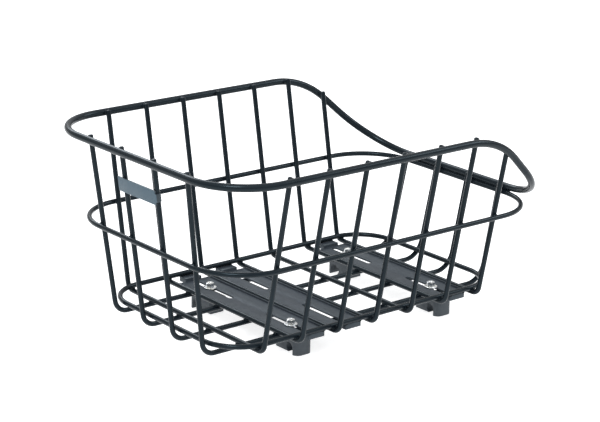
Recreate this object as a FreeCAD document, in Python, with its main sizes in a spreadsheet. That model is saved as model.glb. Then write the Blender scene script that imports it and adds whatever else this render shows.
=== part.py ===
# Wire basket for the top of a bicycle's rear carrier, with a saddle recess in its front end.
# X runs along the basket (the saddle recess at +X), Y across it, Z up, and Z = 0 is the ground
# under the clamp feet. Every wire of the basket is a round steel rod.
import FreeCAD, Part
import math
import os
import Sketcher

V = FreeCAD.Vector
os.makedirs("parts", exist_ok=True)
doc = FreeCAD.newDocument("carrier_basket")

# Driving dimensions, in millimetres; the two slopes are millimetres per millimetre.
DIMENSIONS = [
    # rods
    ("rim_rod", 4.0), ("rod", 2.8),
    # cross ribs: across the floor and up both long sides
    ("rib_count", 7), ("rib_pitch", 50.0), ("first_rib_x", -148.6),
    ("floor_z", 27.3), ("floor_half_width", 119.14), ("floor_bend", 10.0),
    ("rib_top_y", 156.47), ("rib_top_z", 220.5), ("last_rib_top_y", 152.32), ("last_rib_top_z", 199.0),
    # top rim, level at the back and dipping to the front end
    ("rim_z", 218.0), ("rim_half_length", 226.3), ("rim_half_width", 163.0), ("rim_corner", 65.0),
    ("dip_corner", 74.0), ("dip_start_x", 127.4), ("dip_blend", 106.0), ("dip_slope", 0.908),
    ("dip_narrowing", 0.185),
    # lengthwise runners: along the floor and up both short ends
    ("runner_z", 21.66), ("runner_inner_y", 26.0), ("runner_outer_y", 77.4),
    ("runner_back_x", -193.18), ("runner_front_x", 196.67),
    ("runner_back_bend", 15.5), ("runner_front_bend", 25.0),
    ("runner_back_top_x", -219.70), ("runner_back_top_z", 220.5), ("runner_back_fan", 1.09),
    ("runner_front_top_x", 219.85), ("runner_front_top_z", 131.0), ("runner_front_fan", 0.98),
    # the two level rings
    ("middle_ring_z", 121.7), ("middle_ring_back_x", -212.5), ("middle_ring_front_x", 224.0),
    ("middle_ring_half_width", 143.25), ("middle_ring_corner", 63.0),
    ("floor_ring_z", 33.1), ("floor_ring_back_x", -186.4), ("floor_ring_front_x", 188.4),
    ("floor_ring_half_width", 111.9), ("floor_ring_corner", 45.0),
    # slotted mounting strips
    ("strip_half_width", 21.6), ("strip_half_length", 102.0), ("strip_bottom_z", 24.54),
    ("strip_plate", 2.0), ("rail_inner_x", 20.4), ("strip_rail_height", 2.0),
    ("strip_rail_half_length", 98.0), ("strip_tab_half_width", 10.5), ("strip_tab_start", 100.5),
    ("strip_tab_end", 113.1), ("strip_tab_top_z", 30.2),
    ("slot_inner_centre_y", 33.25), ("slot_outer_centre_y", 93.75), ("slot_half_width", 3.25),
    # badge plate on the back end
    ("badge_half_width", 32.5), ("badge_half_height", 7.75),
    ("badge_z", 181.5), ("badge_y", 2.5), ("clip_half_size", 4.5), ("clip_bore", 2.9),
    ("clip_lip", 1.2), ("badge_outer_x", 4.5),
    ("near_clip_low_y", -34.9), ("near_clip_y", -30.38), ("near_clip_high_y", -25.9),
    ("far_clip_low_y", 20.9), ("far_clip_y", 25.38), ("far_clip_high_y", 29.9),
    # clamp feet
    ("clamp_y", 70.5), ("foot_half_width", 11.2), ("foot_inner", 14.0), ("foot_outer", 24.0),
    ("foot_top_z", 18.6), ("foot_parting_z", 10.4), ("foot_corner", 7.0),
    ("neck_radius", 3.7), ("neck_top_z", 24.3),
    ("tube_radius", 6.2), ("tube_offset", 11.0), ("tube_z", 6.5),
    ("jaw_half_width", 9.0), ("jaw_inner", 13.0), ("jaw_top_z", 9.8), ("jaw_bottom_z", 1.0),
    # fasteners
    ("bolt_radius", 2.45), ("bolt_hole", 2.65), ("bolt_top_z", 31.8),
    ("head_half_flats", 4.0), ("head_bottom_z", 1.2), ("head_top_z", 4.8),
    ("pocket_half_flats", 4.1), ("pocket_top_z", 4.9),
    ("washer_radius", 7.2), ("washer_hole", 2.7), ("washer_plate", 1.2), ("washer_z", 26.64),
    ("nut_half_flats", 4.0), ("nut_height", 4.7), ("nut_bore", 2.5), ("nut_z", 27.94),
]
sheet = doc.addObject("Spreadsheet::Sheet", "Dimensions")
for row, (name, value) in enumerate(DIMENSIONS, start=1):
    sheet.set(f"A{row}", name)
    sheet.set(f"B{row}", str(value))
    sheet.setAlias(f"B{row}", name)
doc.recompute()
size = dict(DIMENSIONS)
pieces = []


def number(term):
    """The value of a sheet name with an optional minus sign, or of '0'."""
    if term == "0":
        return 0.0
    return -size[term[1:]] if term.startswith("-") else size[term]


def formula(term):
    """The same term as an expression on the sheet."""
    return "-Dimensions." + term[1:] if term.startswith("-") else "Dimensions." + term


def new_body(label):
    """An empty body, which becomes one named sub-part."""
    body = doc.addObject("PartDesign::Body", label)
    body.Label = label
    pieces.append(body)
    return body


def new_sketch(body, name, role, height="0"):
    """A sketch on one of the body's origin planes, raised along that plane's normal."""
    plane = next(item for item in body.Origin.OriginFeatures if item.Role == role)
    sketch = body.newObject("Sketcher::SketchObject", f"{body.Label}_{name}")
    sketch.AttachmentSupport = [(plane, "")]
    sketch.MapMode = "FlatFace"
    if height != "0":
        sketch.setExpression("AttachmentOffset.Base.z", formula(height))
    return sketch


def bind(sketch, constraint, term):
    """Adds a dimension and ties it to the sheet."""
    index = sketch.addConstraint(constraint)
    sketch.setExpression(f"Constraints[{index}]", formula(term))


def pin(sketch, geometry, point, x, y):
    """Ties a point of the sketch to two terms of the sheet."""
    for kind, axis, term in (("DistanceX", -2, x), ("DistanceY", -1, y)):
        if term == "0":
            sketch.addConstraint(Sketcher.Constraint("PointOnObject", geometry, point, axis))
        else:
            bind(sketch, Sketcher.Constraint(kind, -1, 1, geometry, point, number(term)), term)


def add_circle(sketch, x, y, radius):
    """A full circle that follows the sheet."""
    index = sketch.addGeometry(Part.Circle(V(number(x), number(y), 0), V(0, 0, 1), number(radius)), False)
    pin(sketch, index, 3, x, y)
    bind(sketch, Sketcher.Constraint("Radius", index, number(radius)), radius)


def add_rectangle(sketch, left, bottom, right, top):
    """A rectangle between two opposite corners that follow the sheet."""
    terms = [(left, bottom), (right, bottom), (right, top), (left, top)]
    corners = [V(number(x), number(y), 0) for x, y in terms]
    first = sketch.GeometryCount
    for index in range(4):
        sketch.addGeometry(Part.LineSegment(corners[index], corners[(index + 1) % 4]), False)
    for index in range(4):
        following = first + (index + 1) % 4
        sketch.addConstraint(Sketcher.Constraint("Coincident", first + index, 2, following, 1))
        kind = "Horizontal" if index % 2 == 0 else "Vertical"
        sketch.addConstraint(Sketcher.Constraint(kind, first + index))
    pin(sketch, first, 1, left, bottom)
    pin(sketch, first + 2, 1, right, top)


def corner_arc(before, corner, after, radius):
    """Both tangent points and the middle of the arc that rounds one corner of a route."""
    back = (before - corner).normalize()
    ahead = (after - corner).normalize()
    half_angle = back.getAngle(ahead) / 2
    reach = radius / math.tan(half_angle)
    bisector = (back + ahead).normalize()
    middle = corner + bisector * (radius / math.sin(half_angle) - radius)
    return corner + back * reach, middle, corner + ahead * reach


def add_route(sketch, terms, radius, closed=False):
    """A route of lines and equal tangent arcs whose sharp corners follow the sheet."""
    points = [V(number(x), number(y), 0) for x, y in terms]
    count = len(points)
    bends = range(count) if closed else range(1, count - 1)
    arcs = {index: corner_arc(points[index - 1], points[index], points[(index + 1) % count], number(radius))
            for index in bends}
    lines = []
    for index in range(count if closed else count - 1):
        start = arcs[index][2] if index in arcs else points[index]
        following = (index + 1) % count
        end = arcs[following][0] if following in arcs else points[following]
        lines.append(sketch.addGeometry(Part.LineSegment(start, end), False))
    for index in bends:
        arc = Part.Arc(*arcs[index])
        added = sketch.addGeometry(arc, False)
        line_in, line_out = lines[index - 1], lines[index % len(lines)]
        start_is_first = (sketch.getPoint(added, 1) - arcs[index][0]).Length < 1e-6
        first, second = (1, 2) if start_is_first else (2, 1)
        sketch.addConstraint(Sketcher.Constraint("Tangent", line_in, 2, added, first))
        sketch.addConstraint(Sketcher.Constraint("Tangent", added, second, line_out, 1))
        bind(sketch, Sketcher.Constraint("Radius", added, number(radius)), radius)
        mark = sketch.addGeometry(Part.Point(points[index]), True)
        sketch.addConstraint(Sketcher.Constraint("PointOnObject", mark, 1, line_in))
        sketch.addConstraint(Sketcher.Constraint("PointOnObject", mark, 1, line_out))
        pin(sketch, mark, 1, *terms[index])
    if not closed:
        pin(sketch, lines[0], 1, *terms[0])
        pin(sketch, lines[-1], 2, *terms[-1])


def sweep_rod(body, route, section):
    """Sweeps a rod's round section along a route, both sketches of the same body."""
    doc.recompute()
    pipe = body.newObject("PartDesign::AdditivePipe", f"{body.Label}_rod")
    pipe.Profile = section
    pipe.Spine = (route, [f"Edge{index + 1}" for index in range(len(route.Shape.Edges))])
    route.Visibility = False
    section.Visibility = False


def pad(body, sketch, thickness, reverse=False, both_ways=False):
    """Pads a sketch by a sheet length."""
    feature = body.newObject("PartDesign::Pad", sketch.Label + "_pad")
    feature.Profile = sketch
    feature.setExpression("Length", thickness)
    feature.Reversed = reverse
    feature.Midplane = both_ways
    return feature


def pocket(body, sketch, both_ways=False):
    """Cuts a sketch right through the body."""
    feature = body.newObject("PartDesign::Pocket", sketch.Label + "_cut")
    feature.Profile = sketch
    feature.Type = 1
    feature.Midplane = both_ways
    return feature


def make_cross_rib(index):
    """One U-shaped rib in a plane across the basket."""
    body = new_body(f"cross_rib_{index + 1}")
    last = index == int(size["rib_count"]) - 1
    top_y = "last_rib_top_y" if last else "rib_top_y"
    top_z = "last_rib_top_z" if last else "rib_top_z"
    route = new_sketch(body, "route", "YZ_Plane")
    add_route(route, [("-" + top_y, top_z), ("-floor_half_width", "floor_z"),
                      ("floor_half_width", "floor_z"), (top_y, top_z)], "floor_bend")
    section = body.newObject("Sketcher::SketchObject", f"{body.Label}_section")
    section.AttachmentSupport = [(route, "Edge1")]
    section.MapMode = "NormalToEdge"
    add_circle(section, "0", "0", "rod")
    sweep_rod(body, route, section)
    body.setExpression("Placement.Base.x", f"Dimensions.first_rib_x + {index} * Dimensions.rib_pitch")


def make_ring(label, prefix):
    """One level ring: a closed rounded rectangle of rod."""
    body = new_body(label)
    back, front = prefix + "_back_x", prefix + "_front_x"
    side, height = prefix + "_half_width", prefix + "_z"
    route = new_sketch(body, "route", "XY_Plane", height)
    add_route(route, [(back, "-" + side), (front, "-" + side), (front, side), (back, side)],
              prefix + "_corner", closed=True)
    section = body.newObject("Sketcher::SketchObject", f"{body.Label}_section")
    section.AttachmentSupport = [(route, "Edge1")]
    section.MapMode = "NormalToEdge"
    add_circle(section, "0", "0", "rod")
    sweep_rod(body, route, section)


def round_section(centre, direction, radius):
    """The round outline of a rod at one point of its route."""
    return Part.Wire(Part.Circle(centre, direction, radius).toShape())


def rounded_route(corners, radii, closed=False):
    """A wire of straight runs through space, with each corner rounded by its own arc."""
    count = len(corners)
    bends = range(count) if closed else range(1, count - 1)
    arcs = {index: corner_arc(corners[index - 1], corners[index], corners[(index + 1) % count], radius)
            for index, radius in zip(bends, radii)}
    edges = []
    for index in range(count if closed else count - 1):
        following = (index + 1) % count
        start = arcs[index][2] if index in arcs else corners[index]
        end = arcs[following][0] if following in arcs else corners[following]
        edges.append(Part.LineSegment(start, end).toShape())
        if following in arcs:
            edges.append(Part.Arc(*arcs[following]).toShape())
    return Part.Wire(edges)


def add_swept_piece(label, route, radius):
    """A rod whose route leaves every flat plane, so it is swept with Part's own functions."""
    piece = doc.addObject("Part::Feature", label)
    piece.Label = label
    first = route.OrderedEdges[0]
    start, direction = first.valueAt(first.FirstParameter), first.tangentAt(first.FirstParameter)
    piece.Shape = route.makePipeShell([round_section(start, direction, radius)], True, False)
    pieces.append(piece)


def make_runner(index):
    """One lengthwise rod: up the back end, along the floor and up to the saddle recess."""
    distance = size["runner_outer_y"] if index in (0, 3) else size["runner_inner_y"]
    side = distance if index < 2 else -distance
    corners = [
        V(size["runner_back_top_x"], side * size["runner_back_fan"], size["runner_back_top_z"]),
        V(size["runner_back_x"], side, size["runner_z"]),
        V(size["runner_front_x"], side, size["runner_z"]),
        V(size["runner_front_top_x"], side * size["runner_front_fan"], size["runner_front_top_z"]),
    ]
    route = rounded_route(corners, [size["runner_back_bend"], size["runner_front_bend"]])
    add_swept_piece(f"runner_{index + 1}", route, size["rod"])


def make_top_rim():
    """The thick rim: a level back with rounded corners, and a saddle recess bent down in front."""
    length, width, height = size["rim_half_length"], size["rim_half_width"], size["rim_z"]
    drop = size["dip_slope"] * (length - size["dip_start_x"])
    front_width = width - size["dip_narrowing"] * drop
    near_side = [V(-length, -width, height), V(size["dip_start_x"], -width, height),
                 V(length, -front_width, height - drop)]
    far_side = [V(corner.x, -corner.y, corner.z) for corner in reversed(near_side)]
    radii = [size["rim_corner"], size["dip_blend"], size["dip_corner"]]
    route = rounded_route(near_side + far_side, radii + radii[::-1], closed=True)
    add_swept_piece("top_rim", route, size["rim_rod"])


def make_strip(name, rib):
    """A slotted steel strip between two cross ribs, with edge rails and a tab under the floor ring."""
    body = new_body(f"mounting_strip_{name}")
    plate = new_sketch(body, "plate", "XY_Plane", "strip_bottom_z")
    add_rectangle(plate, "-strip_half_width", "-strip_half_length", "strip_half_width", "strip_half_length")
    pad(body, plate, "Dimensions.strip_plate")
    rails = new_sketch(body, "rails", "XY_Plane", "strip_bottom_z")
    for left, right in (("-strip_half_width", "-rail_inner_x"), ("rail_inner_x", "strip_half_width")):
        add_rectangle(rails, left, "-strip_rail_half_length", right, "strip_rail_half_length")
    pad(body, rails, "Dimensions.strip_plate + Dimensions.strip_rail_height")
    for side in ("", "-"):
        tab = new_sketch(body, "tab" + ("_far" if side == "" else "_near"), "XY_Plane", "strip_bottom_z")
        ends = sorted((side + "strip_tab_start", side + "strip_tab_end"), key=number)
        add_rectangle(tab, "-strip_tab_half_width", ends[0], "strip_tab_half_width", ends[1])
        pad(body, tab, "Dimensions.strip_tab_top_z - Dimensions.strip_bottom_z")
    slots = new_sketch(body, "slots", "XY_Plane")
    for side in ("", "-"):
        add_slot(slots, *sorted((side + "slot_inner_centre_y", side + "slot_outer_centre_y"), key=number))
    pocket(body, slots, both_ways=True)
    body.setExpression("Placement.Base.x",
                       f"Dimensions.first_rib_x + {rib + 0.5} * Dimensions.rib_pitch")


def add_slot(sketch, low, high):
    """One long slot across the basket, with a round end about each of two points of the Y axis."""
    radius, bottom_y, top_y = size["slot_half_width"], number(low), number(high)
    left = sketch.addGeometry(Part.LineSegment(V(-radius, bottom_y, 0), V(-radius, top_y, 0)), False)
    right = sketch.addGeometry(Part.LineSegment(V(radius, top_y, 0), V(radius, bottom_y, 0)), False)
    up = Part.Circle(V(0, top_y, 0), V(0, 0, 1), radius)
    down = Part.Circle(V(0, bottom_y, 0), V(0, 0, 1), radius)
    top = sketch.addGeometry(Part.ArcOfCircle(up, 0, math.pi), False)
    bottom = sketch.addGeometry(Part.ArcOfCircle(down, math.pi, 2 * math.pi), False)
    for first, end, second, start in ((left, 2, top, 2), (top, 1, right, 1),
                                      (right, 2, bottom, 2), (bottom, 1, left, 1)):
        sketch.addConstraint(Sketcher.Constraint("Tangent", first, end, second, start))
    pin(sketch, top, 3, "0", high)
    pin(sketch, bottom, 3, "0", low)
    bind(sketch, Sketcher.Constraint("Radius", top, radius), "slot_half_width")


def add_hexagon(sketch, half_flats):
    """A hexagon about the origin, with its flats to +Y and -Y."""
    flats = number(half_flats)
    reach = flats / math.cos(math.pi / 6)
    angles = [math.radians(60 * index) for index in range(6)]
    corners = [V(reach * math.cos(angle), reach * math.sin(angle), 0) for angle in angles]
    sides = [sketch.addGeometry(Part.LineSegment(corners[index - 1], corners[index]), False)
             for index in range(6)]
    guide = sketch.addGeometry(Part.Circle(V(0, 0, 0), V(0, 0, 1), reach), True)
    for index, side in enumerate(sides):
        sketch.addConstraint(Sketcher.Constraint("Coincident", side, 2, sides[(index + 1) % 6], 1))
        sketch.addConstraint(Sketcher.Constraint("PointOnObject", side, 2, guide))
        if index > 0:
            sketch.addConstraint(Sketcher.Constraint("Equal", sides[0], side))
    sketch.addConstraint(Sketcher.Constraint("Coincident", guide, 3, -1, 1))
    sketch.addConstraint(Sketcher.Constraint("Horizontal", sides[2]))
    bind(sketch, Sketcher.Constraint("Distance", -1, 1, sides[2], flats), half_flats)


def pad_between(body, sketch, bottom, top):
    """Pads a sketch that lies at the height bottom up to the height top."""
    return pad(body, sketch, f"Dimensions.{top} - Dimensions.{bottom}")


def place_clamp(body, x_formula, side):
    """Moves a clamp piece to its slot; on the +Y side it is turned half round."""
    body.setExpression("Placement.Base.x", x_formula)
    body.setExpression("Placement.Base.y", f"{side} * Dimensions.clamp_y")
    if side > 0:
        body.Placement.Rotation = FreeCAD.Rotation(V(0, 0, 1), 180)


def clamp_profile(sketch, outline, arc_ends, arc_top):
    """The side view of a saddle or a jaw: straight edges closed by one arc about the rack's tube."""
    geometry = [Part.LineSegment(V(*first, 0), V(*second, 0)) for first, second in zip(outline, outline[1:])]
    geometry.append(Part.Arc(V(*arc_ends[0], 0), V(*arc_top, 0), V(*arc_ends[1], 0)))
    for index, item in enumerate(geometry):
        sketch.addGeometry(item, False)
    for index in range(len(outline) - 2):
        sketch.addConstraint(Sketcher.Constraint("Coincident", index, 2, index + 1, 1))


def make_saddle(label, x_formula, side):
    """The upper half of a clamp foot: its lug and arch lie over the rack's tube."""
    body = new_body(label)
    tube_y, tube_z, radius = -size["tube_offset"], size["tube_z"], size["tube_radius"]
    lip = math.sqrt(radius ** 2 - (size["foot_parting_z"] - tube_z) ** 2)
    inner, outer, top = size["foot_inner"], -size["foot_outer"], size["foot_top_z"]
    outline = [(tube_y + lip, size["foot_parting_z"]), (inner, size["foot_parting_z"]), (inner, top),
               (outer, top), (outer, 0.0), (tube_y - radius, 0.0), (tube_y - radius, tube_z)]
    profile = new_sketch(body, "side", "YZ_Plane")
    clamp_profile(profile, outline, (outline[-1], outline[0]), (tube_y, tube_z + radius))
    block = pad(body, profile, "2 * Dimensions.foot_half_width", both_ways=True)
    doc.recompute()
    upright = [f"Edge{index + 1}" for index, edge in enumerate(block.Shape.Edges)
               if is_upright_edge(edge) and edge.BoundBox.YMax < outer + 0.1]
    rounded = body.newObject("PartDesign::Fillet", f"{label}_end")
    rounded.Base = (block, upright)
    rounded.setExpression("Radius", "Dimensions.foot_corner")
    neck = new_sketch(body, "neck", "XY_Plane", "foot_top_z")
    add_circle(neck, "0", "0", "neck_radius")
    pad_between(body, neck, "foot_top_z", "neck_top_z")
    bore = new_sketch(body, "bore", "XY_Plane")
    add_circle(bore, "0", "0", "bolt_hole")
    pocket(body, bore, both_ways=True)
    place_clamp(body, x_formula, side)


def is_upright_edge(edge):
    """Whether an edge is straight and runs along Z."""
    box = edge.BoundBox
    return box.XLength < 1e-6 and box.YLength < 1e-6 and box.ZLength > 1


def make_jaw(label, x_formula, side):
    """The lower half of a clamp foot: the bolt draws it up against the rack's tube."""
    body = new_body(label)
    tube_y, tube_z, radius = -size["tube_offset"], size["tube_z"], size["tube_radius"]
    top, bottom, inner = size["jaw_top_z"], size["jaw_bottom_z"], size["jaw_inner"]
    upper = tube_y + math.sqrt(radius ** 2 - (top - tube_z) ** 2)
    lower = tube_y + math.sqrt(radius ** 2 - (bottom - tube_z) ** 2)
    outline = [(lower, bottom), (inner, bottom), (inner, top), (upper, top)]
    profile = new_sketch(body, "side", "YZ_Plane")
    clamp_profile(profile, outline, (outline[-1], outline[0]), (tube_y + radius, tube_z))
    pad(body, profile, "2 * Dimensions.jaw_half_width", both_ways=True)
    bore = new_sketch(body, "bore", "XY_Plane")
    add_circle(bore, "0", "0", "bolt_hole")
    pocket(body, bore, both_ways=True)
    seat = new_sketch(body, "seat", "XY_Plane")
    add_hexagon(seat, "pocket_half_flats")
    recess = pocket(body, seat)
    recess.Type = 0
    recess.Reversed = True
    recess.setExpression("Length", "Dimensions.pocket_top_z")
    place_clamp(body, x_formula, side)


def make_bolt(label, x_formula, side):
    """The clamp's bolt: a hexagon head held in the jaw, and a shank up through the strip."""
    body = new_body(label)
    head = new_sketch(body, "head", "XY_Plane", "head_bottom_z")
    add_hexagon(head, "head_half_flats")
    pad_between(body, head, "head_bottom_z", "head_top_z")
    shank = new_sketch(body, "shank", "XY_Plane", "head_bottom_z")
    add_circle(shank, "0", "0", "bolt_radius")
    pad_between(body, shank, "head_bottom_z", "bolt_top_z")
    place_clamp(body, x_formula, side)


def make_washer(label, x_formula, side):
    """The wide flat washer that spans the slot under the nut."""
    body = new_body(label)
    ring = new_sketch(body, "ring", "XY_Plane", "washer_z")
    add_circle(ring, "0", "0", "washer_radius")
    add_circle(ring, "0", "0", "washer_hole")
    pad(body, ring, "Dimensions.washer_plate")
    place_clamp(body, x_formula, side)


def make_nut(label, x_formula, side):
    """The hexagon nut on top."""
    body = new_body(label)
    outline = new_sketch(body, "outline", "XY_Plane", "nut_z")
    add_hexagon(outline, "nut_half_flats")
    add_circle(outline, "0", "0", "nut_bore")
    pad(body, outline, "Dimensions.nut_height")
    place_clamp(body, x_formula, side)


def make_clamp(name, rib, side):
    """One whole clamp: saddle, jaw, bolt, washer and nut."""
    x_formula = f"Dimensions.first_rib_x + {rib + 0.5} * Dimensions.rib_pitch"
    for kind, maker in (("saddle", make_saddle), ("jaw", make_jaw), ("bolt", make_bolt),
                        ("washer", make_washer), ("nut", make_nut)):
        maker(f"clamp_{kind}_{name}", x_formula, side)


def make_badge():
    """The blank name plate on the back end, clipped to the two middle runners."""
    body = new_body("badge_plate")
    plate = new_sketch(body, "plate", "XY_Plane")
    add_rectangle(plate, "-badge_outer_x", "-badge_half_width", "-clip_bore", "badge_half_width")
    pad(body, plate, "2 * Dimensions.badge_half_height", both_ways=True)
    clips = new_sketch(body, "clips", "XY_Plane")
    bores = new_sketch(body, "bores", "XY_Plane")
    for bottom, middle, top in (("near_clip_low_y", "near_clip_y", "near_clip_high_y"),
                                ("far_clip_low_y", "far_clip_y", "far_clip_high_y")):
        add_rectangle(clips, "-badge_outer_x", bottom, "clip_lip", top)
        add_circle(bores, "0", middle, "clip_bore")
    pad(body, clips, "2 * Dimensions.clip_half_size", both_ways=True)
    pocket(body, bores, both_ways=True)
    rise = size["runner_back_top_z"] - size["runner_z"]
    run = size["runner_back_x"] - size["runner_back_top_x"]
    lean = math.degrees(math.atan2(run, rise))
    height = size["badge_z"] - size["runner_z"]
    place = V(size["runner_back_x"] - run * height / rise, size["badge_y"], size["badge_z"])
    body.Placement = FreeCAD.Placement(place, FreeCAD.Rotation(V(0, 1, 0), -lean))


for rib_index in range(int(size["rib_count"])):
    make_cross_rib(rib_index)
for runner_index in range(4):
    make_runner(runner_index)
make_ring("middle_ring", "middle_ring")
make_ring("floor_ring", "floor_ring")
make_top_rim()
for strip_name, rib_before in (("a", 1), ("b", 2), ("c", 5)):
    make_strip(strip_name, rib_before)
for strip_name, rib_before in (("a", 1), ("c", 5)):
    make_clamp(f"{strip_name}_near", rib_before, -1)
    make_clamp(f"{strip_name}_far", rib_before, 1)
make_badge()

doc.recompute()
for item in doc.Objects:
    if "Invalid" in item.State or "Error" in item.State:
        raise RuntimeError(f"{item.Label}: {item.State}")
for piece in pieces:
    if piece.Shape.isNull() or not piece.Shape.isValid() or len(piece.Shape.Solids) != 1:
        raise RuntimeError(f"{piece.Label} is not one valid solid")
    piece.Shape.exportStep(f"parts/{piece.Label}.step")
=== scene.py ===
"""Visual model of a wire basket for a bicycle's rear carrier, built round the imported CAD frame.

The rods keep their CAD nodes. Welds, a seam and rounded rod ends are added to them. The strips, the badge,
the feet and the fasteners are replaced by finer meshes of the same size.
"""

import math

import bmesh
import bpy
from mathutils import Matrix, Vector, kdtree, noise


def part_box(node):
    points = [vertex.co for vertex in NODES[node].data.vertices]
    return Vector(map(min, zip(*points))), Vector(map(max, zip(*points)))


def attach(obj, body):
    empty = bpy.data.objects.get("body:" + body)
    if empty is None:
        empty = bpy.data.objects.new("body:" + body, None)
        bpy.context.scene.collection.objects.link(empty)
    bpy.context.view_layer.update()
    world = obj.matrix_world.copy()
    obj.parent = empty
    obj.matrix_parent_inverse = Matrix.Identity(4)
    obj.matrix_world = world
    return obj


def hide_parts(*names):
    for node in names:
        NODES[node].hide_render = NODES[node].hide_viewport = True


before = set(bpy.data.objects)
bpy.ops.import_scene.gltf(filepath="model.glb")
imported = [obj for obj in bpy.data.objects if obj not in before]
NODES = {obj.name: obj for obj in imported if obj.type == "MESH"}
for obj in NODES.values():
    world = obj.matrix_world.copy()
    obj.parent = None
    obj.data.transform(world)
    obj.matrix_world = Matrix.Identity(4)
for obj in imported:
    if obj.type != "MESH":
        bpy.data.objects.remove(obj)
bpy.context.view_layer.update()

MM = 0.001
CLAMPS = ("a_near", "a_far", "c_near", "c_far")
STRIPS = ("mounting_strip_a", "mounting_strip_b", "mounting_strip_c")


# ---------------------------------------------------------------- materials

def new_material(name, metallic=0.0, specular=0.5, tint=(1, 1, 1)):
    """A Principled material; returns its tree, its shader and its object coordinates."""
    material = bpy.data.materials.new(name)
    material.use_nodes = True
    tree = material.node_tree
    shader = tree.nodes["Principled BSDF"]
    shader.inputs["Metallic"].default_value = metallic
    shader.inputs["Specular IOR Level"].default_value = specular
    shader.inputs["Specular Tint"].default_value = (*tint, 1)
    coordinates = tree.nodes.new("ShaderNodeTexCoord").outputs["Object"]
    return material, tree, shader, coordinates


def add_noise(tree, coordinates, scale, detail=2.0, roughness=0.5):
    """A noise field with its grain given as cells per metre."""
    node = tree.nodes.new("ShaderNodeTexNoise")
    node.inputs["Scale"].default_value = scale
    node.inputs["Detail"].default_value = detail
    node.inputs["Roughness"].default_value = roughness
    tree.links.new(coordinates, node.inputs["Vector"])
    return node.outputs["Fac"]


def add_ramp(tree, factor, low, high, start=0.3, end=0.7):
    """Maps a field onto a range of grey values or colours."""
    node = tree.nodes.new("ShaderNodeValToRGB")
    as_colour = [(*value, 1) if isinstance(value, tuple) else (value, value, value, 1)
                 for value in (low, high)]
    for element, position, colour in zip(node.color_ramp.elements, (start, end), as_colour):
        element.position = position
        element.color = colour
    tree.links.new(factor, node.inputs["Fac"])
    return node.outputs["Color"]


def add_bump(tree, shader, fields):
    """Chains bumps: each field comes with its depth in metres and its strength."""
    normal = None
    for field, depth, strength in fields:
        node = tree.nodes.new("ShaderNodeBump")
        node.inputs["Distance"].default_value = depth
        node.inputs["Strength"].default_value = strength
        tree.links.new(field, node.inputs["Height"])
        if normal is not None:
            tree.links.new(normal, node.inputs["Normal"])
        normal = node.outputs["Normal"]
    tree.links.new(normal, shader.inputs["Normal"])


def finish_surface(tree, shader, colour, roughness, bumps):
    """Links colour, roughness and bumps to the shader."""
    tree.links.new(colour, shader.inputs["Base Color"])
    tree.links.new(roughness, shader.inputs["Roughness"])
    add_bump(tree, shader, bumps)


COOL_TINT = (0.72, 0.92, 1.0)


def coated_metal(name, dark, light, rough_low, rough_high, peel_depth, specular=0.5):
    """Powder-coated steel: near-even colour, the slight orange peel of the coat and a soft gloss."""
    material, tree, shader, place = new_material(name, specular=specular, tint=COOL_TINT)
    cloud = add_noise(tree, place, 28, 3)
    patches = add_noise(tree, place, 130, 4)
    peel = add_noise(tree, place, 900, 2)
    grain = add_noise(tree, place, 4200, 2)
    finish_surface(tree, shader, add_ramp(tree, cloud, dark, light),
                   add_ramp(tree, patches, rough_low, rough_high),
                   [(peel, peel_depth, 0.5), (grain, peel_depth * 0.3, 0.4)])
    return material


def moulded_nylon(name, dark, light):
    """Moulded nylon: spark-eroded grain and a dull sheen."""
    material, tree, shader, place = new_material(name, specular=0.45)
    cloud = add_noise(tree, place, 45, 3)
    patches = add_noise(tree, place, 260, 3)
    grain = tree.nodes.new("ShaderNodeTexVoronoi")
    grain.inputs["Scale"].default_value = 1500
    tree.links.new(place, grain.inputs["Vector"])
    fine = add_noise(tree, place, 3800, 3, 0.65)
    finish_surface(tree, shader, add_ramp(tree, cloud, dark, light),
                   add_ramp(tree, patches, 0.46, 0.6),
                   [(grain.outputs["Distance"], 0.00008, 0.5), (fine, 0.00004, 0.6)])
    return material


def zinc_plate(name):
    """Bright zinc plate: silver with a faint blue and straw tint, and fine wear."""
    material, tree, shader, place = new_material(name, metallic=1.0)
    tint = add_noise(tree, place, 210, 3)
    smear = add_noise(tree, place, 700, 4, 0.6)
    scratch = add_noise(tree, place, 2600, 3, 0.7)
    finish_surface(tree, shader, add_ramp(tree, tint, (0.70, 0.73, 0.78), (0.86, 0.85, 0.80)),
                   add_ramp(tree, smear, 0.16, 0.34),
                   [(scratch, 0.00002, 0.5)])
    return material


BLACK = coated_metal("black_powder_coat", (0.0046, 0.0070, 0.0098), (0.0078, 0.0112, 0.0148), 0.20, 0.27,
                     0.00003, specular=0.17)
GREY = coated_metal("grey_strip_coat", (0.024, 0.029, 0.036), (0.033, 0.039, 0.047), 0.38, 0.48, 0.00003,
                    specular=0.3)
PLATE = coated_metal("badge_paint", (0.046, 0.073, 0.095), (0.052, 0.081, 0.104), 0.36, 0.44, 0.000015,
                     specular=0.22)
PLATE_EDGE = coated_metal("badge_edge_paint", (0.016, 0.020, 0.025), (0.022, 0.027, 0.033), 0.35, 0.45,
                          0.000015)
NYLON = moulded_nylon("foot_nylon", (0.030, 0.040, 0.050), (0.040, 0.052, 0.063))
ZINC = zinc_plate("zinc")


# ---------------------------------------------------------------- mesh tools

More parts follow.
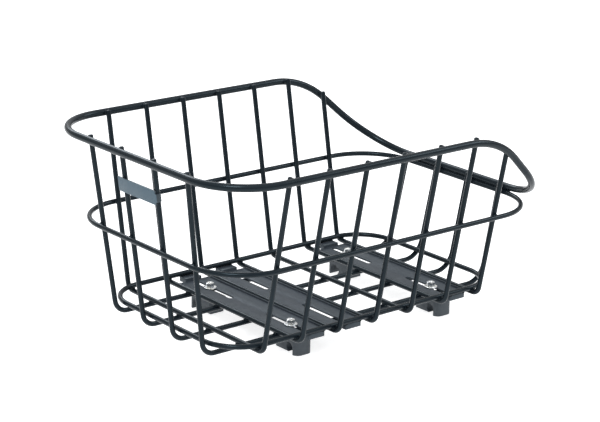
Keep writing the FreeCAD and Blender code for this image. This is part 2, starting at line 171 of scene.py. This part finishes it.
def add_piece(name, shape, material, body, replaced=()):
    """Turns a bmesh into a piece that rides on a body."""
    bmesh.ops.recalc_face_normals(shape, faces=shape.faces)
    data = bpy.data.meshes.new(name)
    shape.to_mesh(data)
    shape.free()
    data.materials.append(material)
    data.polygons.foreach_set("use_smooth", [True] * len(data.polygons))
    data.set_sharp_from_angle(angle=math.radians(38))
    piece = bpy.data.objects.new(name, data)
    bpy.context.scene.collection.objects.link(piece)
    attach(piece, body)
    if replaced:
        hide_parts(*replaced)
    return piece


def softened_copy(node, width, segments=3, angle=32):
    """A copy of a CAD node's mesh whose hard edges are rounded over by width."""
    shape = bmesh.new()
    shape.from_mesh(NODES[node].data)
    bmesh.ops.remove_doubles(shape, verts=shape.verts, dist=1e-6)
    bmesh.ops.dissolve_limit(shape, angle_limit=math.radians(0.5), verts=shape.verts, edges=shape.edges)
    hard = [edge for edge in shape.edges
            if len(edge.link_faces) == 2 and edge.calc_face_angle() > math.radians(angle)]
    bmesh.ops.bevel(shape, geom=hard, offset=width, offset_type="OFFSET", segments=segments,
                    profile=0.5, affect="EDGES", clamp_overlap=True)
    return shape


def add_lathe(shape, rings, place=Matrix.Identity(4), capped=True):
    """Joins rings of equal size into a skin; the first and last are capped, or joined into a ring body."""
    loops = [[shape.verts.new(place @ Vector(point)) for point in ring] for ring in rings]
    count = len(loops[0])
    pairs = list(zip(loops, loops[1:]))
    if not capped:
        pairs.append((loops[-1], loops[0]))
    for below, above in pairs:
        for index in range(count):
            following = (index + 1) % count
            shape.faces.new((below[index], below[following], above[following], above[index]))
    if capped:
        shape.faces.new(reversed(loops[0]))
        shape.faces.new(loops[-1])


def round_ring(radius, z, count=48):
    """A level circle of points."""
    return [(radius * math.cos(2 * math.pi * step / count), radius * math.sin(2 * math.pi * step / count), z)
            for step in range(count)]


def hexagon_reach(angle, half_flats):
    """Distance from the middle to a hexagon's side; its flats face +Y and -Y."""
    return half_flats / math.cos(angle % (math.pi / 3) - math.pi / 6)


def hexagon_ring(half_flats, z, chamfer=0.0, count=48):
    """A level hexagon of points; chamfer drops its corners as a cone would cut them."""
    points = []
    for step in range(count):
        angle = 2 * math.pi * step / count
        reach = hexagon_reach(angle, half_flats)
        over = max(0.0, reach - half_flats * 0.985)
        points.append((reach * math.cos(angle), reach * math.sin(angle), z + chamfer * over))
    return points


def thread_rings(radius, depth, pitch, bottom, top, count=36, steps_per_turn=10):
    """The rings of a single-start thread, fading out at both ends."""
    rings = []
    total = max(2, round((top - bottom) / pitch * steps_per_turn))
    for step in range(total + 1):
        z = bottom + (top - bottom) * step / total
        fade = min(1.0, (z - bottom) / pitch, (top - z) / (0.6 * pitch))
        ring = []
        for index in range(count):
            angle = 2 * math.pi * index / count
            phase = (z / pitch - index / count) % 1.0
            groove = abs(phase - 0.5) * 2
            shown = max(0.0, fade)
            reach = radius - depth * max(0.0, 1 - groove * 1.25) * shown - depth * 0.5 * (1 - shown)
            ring.append((reach * math.cos(angle), reach * math.sin(angle), z))
        rings.append(ring)
    return rings


# ---------------------------------------------------------------- rod lines
# The lines repeat the driving dimensions of the part's source, in millimetres.

ROD = 2.8
RIM_ROD = 4.0
RIB_X = [-148.6 + 50.0 * index for index in range(7)]
FLOOR_Z, FLOOR_HALF_WIDTH, FLOOR_BEND = 27.3, 119.14, 10
RIB_TOP, LAST_RIB_TOP = (156.47, 220.5), (152.32, 199.0)
RUNNER_Z, RUNNER_Y = 21.66, (77.4, 26.0, -26.0, -77.4)
RIM_Z, RIM_HALF_LENGTH, RIM_HALF_WIDTH = 218.0, 226.3, 163.0
DIP_START_X, DIP_SLOPE, DIP_NARROWING = 127.4, 0.908, 0.185
RIM_CORNER, DIP_BLEND, DIP_CORNER = 65, 106, 74
FLOOR_RING_Z, FLOOR_RING_HALF_WIDTH = 33.1, 111.9
STRIP_BOTTOM_Z, STRIP_TAB_TOP_Z = 24.5, 30.2


def rounded_line(corners, radii, closed=False, step=1.0):
    """Points about a millimetre apart along straight runs whose corners are rounded by arcs."""
    corners = [Vector(corner) for corner in corners]
    count = len(corners)
    bends = range(count) if closed else range(1, count - 1)
    arcs = {}
    for index, radius in zip(bends, radii):
        corner = corners[index]
        back = (corners[index - 1] - corner).normalized()
        ahead = (corners[(index + 1) % count] - corner).normalized()
        half = back.angle(ahead) / 2
        reach = radius / math.tan(half)
        centre = corner + (back + ahead).normalized() * (radius / math.sin(half))
        start, end = corner + back * reach, corner + ahead * reach
        sweep = math.pi - 2 * half
        steps = max(2, round(radius * sweep / step))
        first, last = start - centre, end - centre
        arcs[index] = []
        for t in range(steps + 1):
            blend = first * math.sin(sweep * (1 - t / steps)) + last * math.sin(sweep * t / steps)
            arcs[index].append(centre + blend / math.sin(sweep))
    points = []
    for index in range(count if closed else count - 1):
        following = (index + 1) % count
        start = arcs[index][-1] if index in arcs else corners[index]
        end = arcs[following][0] if following in arcs else corners[following]
        steps = max(1, round((end - start).length / step))
        points += [start.lerp(end, t / steps) for t in range(steps)]
        points += arcs.get(following, [end])
    return points


def rib_line(index):
    """The line of one cross rib."""
    top_y, top_z = LAST_RIB_TOP if index == len(RIB_X) - 1 else RIB_TOP
    x = RIB_X[index]
    return rounded_line([(x, -top_y, top_z), (x, -FLOOR_HALF_WIDTH, FLOOR_Z),
                         (x, FLOOR_HALF_WIDTH, FLOOR_Z), (x, top_y, top_z)], [FLOOR_BEND] * 2)


def runner_line(y):
    """The line of one lengthwise runner."""
    return rounded_line([(-219.7, y * 1.09, 220.5), (-193.18, y, RUNNER_Z), (196.67, y, RUNNER_Z),
                         (219.85, y * 0.98, 131.0)], [15.5, 25.0])


def ring_line(back_x, front_x, half_width, z, corner):
    """The line of a level ring."""
    return rounded_line([(back_x, -half_width, z), (front_x, -half_width, z),
                         (front_x, half_width, z), (back_x, half_width, z)], [corner] * 4, closed=True)


def rim_line():
    """The line of the top rim with its dip to the front."""
    drop = DIP_SLOPE * (RIM_HALF_LENGTH - DIP_START_X)
    near = [(-RIM_HALF_LENGTH, -RIM_HALF_WIDTH, RIM_Z), (DIP_START_X, -RIM_HALF_WIDTH, RIM_Z),
            (RIM_HALF_LENGTH, -(RIM_HALF_WIDTH - DIP_NARROWING * drop), RIM_Z - drop)]
    far = [(x, -y, z) for x, y, z in reversed(near)]
    radii = [RIM_CORNER, DIP_BLEND, DIP_CORNER]
    return rounded_line(near + far, radii + radii[::-1], closed=True)


rib_lines = [rib_line(index) for index in range(len(RIB_X))]
runner_lines = [runner_line(y) for y in RUNNER_Y]
rods = {f"rib_{index + 1}": (line, ROD) for index, line in enumerate(rib_lines)}
rods.update({f"runner_{index + 1}": (line, ROD) for index, line in enumerate(runner_lines)})
rods["middle_ring"] = (ring_line(-212.5, 224.0, 143.25, 121.7, 63.0), ROD)
floor_ring = ring_line(-186.4, 188.4, FLOOR_RING_HALF_WIDTH, FLOOR_RING_Z, 45.0)
rods["floor_ring"] = (floor_ring, ROD)
rods["rim"] = (rim_line(), RIM_ROD)


def tangent_at(points, index):
    """Direction of a line of points near one of them."""
    return (points[min(index + 1, len(points) - 1)] - points[max(index - 1, 0)]).normalized()


def crossings(first, second):
    """Where two rods touch: the place, the normal between them and both directions."""
    points_a, radius_a = first
    points_b, radius_b = second
    tree = kdtree.KDTree(len(points_b))
    for index, point in enumerate(points_b):
        tree.insert(point, index)
    tree.balance()
    touch = radius_a + radius_b + 1.1
    found, best = [], None
    for index, point in enumerate(points_a):
        near, other, distance = tree.find(point)
        if distance < touch:
            if best is None or distance < best[0]:
                best = (distance, index, other)
        elif best is not None:
            found.append(best)
            best = None
    if best is not None:
        found.append(best)
    for distance, index, other in found:
        normal = (points_b[other] - points_a[index]).normalized()
        place = points_a[index] + normal * (radius_a + (distance - radius_a - radius_b) / 2)
        yield place, normal, tangent_at(points_a, index), tangent_at(points_b, other)


def add_weld(shape, place, normal, along_a, along_b, seed, width=2.9, height=1.45):
    """A small fused bead that fills the corners round the touching point of two rods."""
    first = along_a + along_b
    if first.length < 0.3:
        first = along_a - along_b
    first = (first - normal * first.dot(normal)).normalized()
    second = normal.cross(first)
    steps, bands = 14, 7
    spread = width * (1 + 0.14 * noise.noise(place * 0.37 + Vector((seed, 0, 0))))
    basis = Matrix((first, second, normal)).transposed()
    rings = []
    for band in range(1, bands):
        slope = math.pi * band / bands
        ring = []
        for step in range(steps):
            turn = 2 * math.pi * step / steps
            across = math.sin(slope)
            ball = Vector((across * math.cos(turn), across * math.sin(turn), -math.cos(slope)))
            ripple = 1 + 0.10 * noise.noise(ball * 1.7 + place * 0.11)
            local = Vector((ball.x * spread, ball.y * spread, ball.z * height)) * ripple
            ring.append((place + basis @ local) * MM)
        rings.append(ring)
    add_lathe(shape, rings)


def add_seam(shape, radius=1.1):
    """The brazed seam that closes the gap where the middle ring lies along the rim's front."""
    ring = [point for point in rods["middle_ring"][0] if point.x > 222.0]
    rim = rods["rim"][0]
    sections = []
    for point in sorted(ring, key=lambda place: place.y):
        closest = min(rim, key=lambda place: (place - point).length)
        if (closest - point).length < ROD + RIM_ROD + 0.4:
            away = (closest - point).normalized()
            sections.append((point + away * (ROD + 0.05), away))
    out = Vector((0, 1, 0))
    rings = []
    for centre, away in sections:
        side = away.cross(out).normalized()
        rings.append([(centre + (away * math.cos(turn) + side * math.sin(turn)) * radius) * MM
                      for turn in (2 * math.pi * step / 10 for step in range(10))])
    add_lathe(shape, rings)


def make_welds():
    """One bead at every crossing of two rods."""
    shape = bmesh.new()
    names = list(rods)
    seed = 0
    for position, name in enumerate(names):
        for other in names[position + 1:]:
            for crossing in crossings(rods[name], rods[other]):
                seed += 1
                add_weld(shape, *crossing, seed)
    add_seam(shape)
    add_piece("weld_beads", shape, BLACK, "basket")


def make_rod_ends():
    """A rounded end on every rib and runner."""
    shape = bmesh.new()
    for line in rib_lines + runner_lines:
        for tip, before in ((line[0], line[1]), (line[-1], line[-2])):
            direction = (tip - before).normalized()
            turn = direction.to_track_quat("Z", "Y").to_matrix().to_4x4()
            rings = [round_ring(ROD * MM, -0.4 * MM, 24)]
            for step in range(6):
                angle = math.pi / 2 * step / 6
                rings.append(round_ring(ROD * math.cos(angle) * MM, 1.2 * math.sin(angle) * MM, 24))
            add_lathe(shape, rings, Matrix.Translation(tip * MM) @ turn)
    add_piece("rod_ends", shape, BLACK, "basket")


# ---------------------------------------------------------------- strips and badge

LEVEL = (Vector((0, 0, 1)), Vector((1, 0, 0)), Vector((0, 1, 0)))

def make_strips():
    """The slotted strips with softened edges, and weld spots where they lie on the runners."""
    for node in STRIPS:
        shape = softened_copy(node, 0.35 * MM)
        add_piece("detail_" + node, shape, GREY, "basket", [node])
    shape = bmesh.new()
    seed = 500
    for node in STRIPS:
        low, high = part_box(node)
        middle = (low.x + high.x) / 2 / MM
        for y in RUNNER_Y:
            for side in (-1, 1):
                seed += 1
                place = Vector((middle + side * 21.0, y, STRIP_BOTTOM_Z))
                add_weld(shape, place, *LEVEL, seed, 2.3, 1.0)
        for side in (-1, 1):
            for edge in (-1, 1):
                seed += 1
                place = Vector((middle + edge * 9.2, side * FLOOR_RING_HALF_WIDTH, STRIP_TAB_TOP_Z))
                add_weld(shape, place, *LEVEL, seed, 2.2, 0.9)
    add_piece("strip_welds", shape, BLACK, "basket")


def make_badge():
    """The blank name plate with a dark rolled edge."""
    shape = softened_copy("badge_plate", 0.45 * MM)
    badge = add_piece("detail_badge", shape, PLATE, "basket", ["badge_plate"])
    badge.data.materials.append(PLATE_EDGE)
    low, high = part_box("badge_plate")
    for face in badge.data.polygons:
        outward = face.normal.x < -0.9
        rim_face = face.area < 4e-6 or not outward
        face.material_index = 1 if rim_face else 0


# ---------------------------------------------------------------- clamps

CORNER_CUT = 0.55

def clamp_place(name):
    """Centre of a clamp's bolt, on the ground."""
    low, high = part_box("clamp_washer_" + name)
    middle = (low + high) / 2
    return Matrix.Translation((middle.x, middle.y, 0))


def make_nut(name, place):
    """A hexagon nut with chamfered corners and a plain bore with chamfered mouths."""
    low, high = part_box("clamp_nut_" + name)
    half_flats = (high.y - low.y) / 2
    bore = 2.52 * MM
    flat = half_flats * 0.93
    shape = bmesh.new()
    top, bottom = high.z, low.z
    lead_in = 0.4 * MM
    rings = [round_ring(bore, bottom + lead_in), round_ring(bore + lead_in, bottom), round_ring(flat, bottom),
             hexagon_ring(half_flats, bottom, CORNER_CUT), hexagon_ring(half_flats, top, -CORNER_CUT),
             round_ring(flat, top), round_ring(bore + lead_in, top), round_ring(bore, top - lead_in)]
    add_lathe(shape, rings, place, capped=False)
    add_piece("detail_nut_" + name, shape, ZINC, "nut_" + name, ["clamp_nut_" + name])


def make_washer(name, place):
    """A wide flat washer with stamped, rounded edges."""
    low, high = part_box("clamp_washer_" + name)
    outer, inner = (high.x - low.x) / 2, 2.72 * MM
    edge = 0.25 * MM
    rings = []
    for radius, sign in ((outer, 1), (inner, -1)):
        corners = ((low.z, -1), (high.z, 1)) if sign > 0 else ((high.z, 1), (low.z, -1))
        for z, up in corners:
            steps = range(4) if (up < 0) == (sign > 0) else range(3, -1, -1)
            for step in steps:
                angle = math.pi / 2 * step / 3
                ring_radius = radius - sign * edge * (1 - math.sin(angle))
                rings.append(round_ring(ring_radius, z - up * edge * (1 - math.cos(angle)), 56))
    shape = bmesh.new()
    add_lathe(shape, rings, place, capped=False)
    add_piece("detail_washer_" + name, shape, ZINC, "washer_" + name, ["clamp_washer_" + name])


def make_bolt(name, place):
    """A hexagon bolt: a chamfered head below and a threaded shank."""
    low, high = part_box("clamp_bolt_" + name)
    half_flats = (high.y - low.y) / 2
    head_top = 4.8 * MM
    radius = 2.45 * MM
    shape = bmesh.new()
    rings = [round_ring(half_flats * 0.9, low.z), hexagon_ring(half_flats, low.z, CORNER_CUT),
             hexagon_ring(half_flats, head_top), round_ring(radius * 1.08, head_top),
             round_ring(radius, head_top + 0.25 * MM)]
    add_lathe(shape, rings, place)
    shank = [round_ring(radius * 0.96, head_top, 36), round_ring(radius * 0.96, 18 * MM, 36)]
    shank += thread_rings(radius, 0.42 * MM, 0.8 * MM, 18.2 * MM, high.z - 0.25 * MM)
    shank.append(round_ring(radius * 0.72, high.z, 36))
    add_lathe(shape, shank, place)
    add_piece("detail_bolt_" + name, shape, ZINC, "jaw_" + name, ["clamp_bolt_" + name])


def make_foot(name):
    """The moulded saddle and jaw of one clamp, with softened edges."""
    for kind, width in (("saddle", 0.7), ("jaw", 0.8)):
        node = f"clamp_{kind}_{name}"
        shape = softened_copy(node, width * MM)
        add_piece(f"detail_{kind}_{name}", shape, NYLON, f"{kind}_{name}", [node])


def make_clamps():
    """All pieces of the four clamps."""
    for name in CLAMPS:
        place = clamp_place(name)
        make_nut(name, place)
        make_washer(name, place)
        make_bolt(name, place)
        make_foot(name)


# ---------------------------------------------------------------- studio

def make_studio():
    """A pale floor, a soft sky that is brightest overhead, and three soft lights."""
    bpy.ops.mesh.primitive_plane_add(size=14, location=(0, 2, 0))
    floor = bpy.context.object
    floor.name = "floor"
    material, tree, shader, place = new_material("pale_floor", specular=0.2)
    shade = add_noise(tree, place, 3, 3)
    grain = add_noise(tree, place, 600, 3)
    finish_surface(tree, shader, add_ramp(tree, shade, 0.58, 0.60), add_ramp(tree, grain, 0.80, 0.88),
                   [(grain, 0.0001, 0.1)])
    shader.inputs["Emission Color"].default_value = (1, 1, 1, 1)
    shader.inputs["Emission Strength"].default_value = 0.8
    floor.data.materials.append(material)

    world = bpy.data.worlds.new("soft_sky")
    bpy.context.scene.world = world
    world.use_nodes = True
    tree = world.node_tree
    place = tree.nodes.new("ShaderNodeTexCoord").outputs["Generated"]
    split = tree.nodes.new("ShaderNodeSeparateXYZ")
    tree.links.new(place, split.inputs["Vector"])
    ramp = add_ramp(tree, split.outputs["Z"], 0.32, 1.0, 0.0, 0.75)
    background = tree.nodes["Background"]
    tree.links.new(ramp, background.inputs["Color"])
    background.inputs["Strength"].default_value = 1.2

    for name, place, size, power in (("key", (-1.6, -1.0, 2.2), 0.9, 44), ("fill", (1.9, -1.1, 1.5), 0.9, 16),
                                     ("back", (0.6, 2.2, 1.8), 1.2, 24)):
        data = bpy.data.lights.new(name, "AREA")
        data.size = size
        data.energy = power
        data.color = (0.88, 0.94, 1.0)
        lamp = bpy.data.objects.new(name, data)
        lamp.location = place
        aim = Vector((0, 0, 0.1)) - Vector(place)
        lamp.rotation_euler = aim.to_track_quat("-Z", "Y").to_euler()
        bpy.context.scene.collection.objects.link(lamp)

    scene = bpy.context.scene
    scene.view_settings.view_transform = "Standard"
    scene.view_settings.look = "None"


def make_camera():
    """A long lens that looks over the back end and the near side, a little above the rim."""
    azimuth, elevation, roll = math.radians(-38.86), math.radians(17.53), math.radians(1.008)
    target = Vector((-0.0448, 0.0, 0.127))
    back = Vector((math.sin(azimuth) * math.cos(elevation), -math.cos(azimuth) * math.cos(elevation),
                   math.sin(elevation)))
    right = Vector((math.cos(azimuth), math.sin(azimuth), 0))
    up = back.cross(right)
    rolled_right = math.cos(roll) * right + math.sin(roll) * up
    rolled_up = math.cos(roll) * up - math.sin(roll) * right
    turn = Matrix((rolled_right, rolled_up, back)).transposed()
    data = bpy.data.cameras.new("camera")
    data.lens = 121.35
    data.shift_x = 0.0468
    data.shift_y = 0.0016
    data.clip_end = 60
    camera = bpy.data.objects.new("camera", data)
    camera.matrix_world = Matrix.Translation(target + back * 2.1639) @ turn.to_4x4()
    bpy.context.scene.collection.objects.link(camera)
    bpy.context.scene.camera = camera


def finish_rods():
    """Gives the CAD rods their powder coat."""
    for name, node in NODES.items():
        if name.startswith(("cross_rib", "runner", "top_rim", "middle_ring", "floor_ring")):
            node.data.materials.clear()
            node.data.materials.append(BLACK)


finish_rods()
make_welds()
make_rod_ends()
make_strips()
make_badge()
make_clamps()
make_studio()
make_camera()
